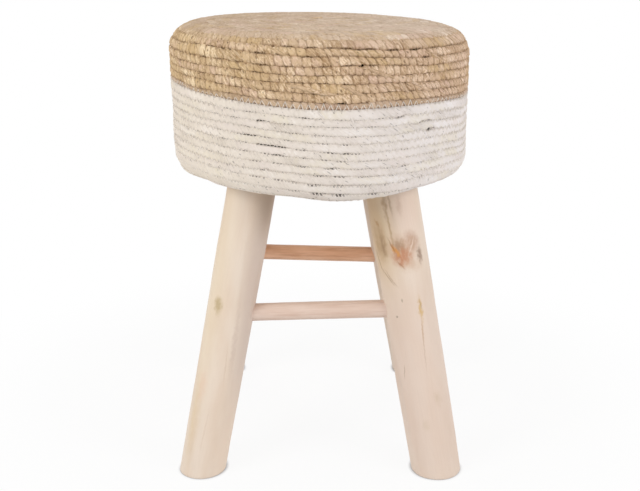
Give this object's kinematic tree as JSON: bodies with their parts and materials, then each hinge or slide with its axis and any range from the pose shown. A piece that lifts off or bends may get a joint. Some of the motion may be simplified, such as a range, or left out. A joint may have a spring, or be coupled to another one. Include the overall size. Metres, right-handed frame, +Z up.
{
  "type": "round pouf stool",
  "caption": "Round padded stool: a foam drum covered in coiled husk rope, natural over white, on splayed log legs tied by round rungs.",
  "frame": {"origin": "on the floor, under the middle of the seat", "axes": "+Z up, -Y towards the front, +X to the right seen from the front"},
  "size_m": [0.308, 0.3081, 0.4498],
  "materials": {
    "natural_husk": "twisted dry husk, matte",
    "white_husk": "bleached twisted husk, matte",
    "lining_cloth": "thin dark cloth, matte",
    "foam": "open foam, matte",
    "plywood": "bare, sanded",
    "leg_wood": "peeled log, sanded, satin",
    "pink_rung_wood": "turned dowel, satin",
    "brown_rung_wood": "turned dowel, satin",
    "screw_steel": "zinc plated",
    "staple_steel": "bright wire"
  },
  "bodies": {
    "root": {"natural_rope_top": "natural_husk", "natural_rope_side": "natural_husk", "white_rope_side": "white_husk", "lining": "lining_cloth", "foam_pad": "foam", "seat_plate": "plywood", "front_left_leg": "leg_wood", "front_right_leg": "leg_wood", "rear_left_leg": "leg_wood", "rear_right_leg": "leg_wood", "front_rung": "pink_rung_wood", "rear_rung": "brown_rung_wood", "left_rung": "pink_rung_wood", "right_rung": "pink_rung_wood", "front_left_screw_1": "screw_steel", "front_left_screw_2": "screw_steel", "front_right_screw_1": "screw_steel", "front_right_screw_2": "screw_steel", "rear_left_screw_1": "screw_steel", "rear_left_screw_2": "screw_steel", "rear_right_screw_1": "screw_steel", "rear_right_screw_2": "screw_steel", "hem_staple_01": "staple_steel", "hem_staple_02": "staple_steel", "hem_staple_03": "staple_steel", "hem_staple_04": "staple_steel", "hem_staple_05": "staple_steel", "hem_staple_06": "staple_steel", "hem_staple_07": "staple_steel", "hem_staple_08": "staple_steel", "hem_staple_09": "staple_steel", "hem_staple_10": "staple_steel", "hem_staple_11": "staple_steel", "hem_staple_12": "staple_steel"}
  },
  "joints": []
}
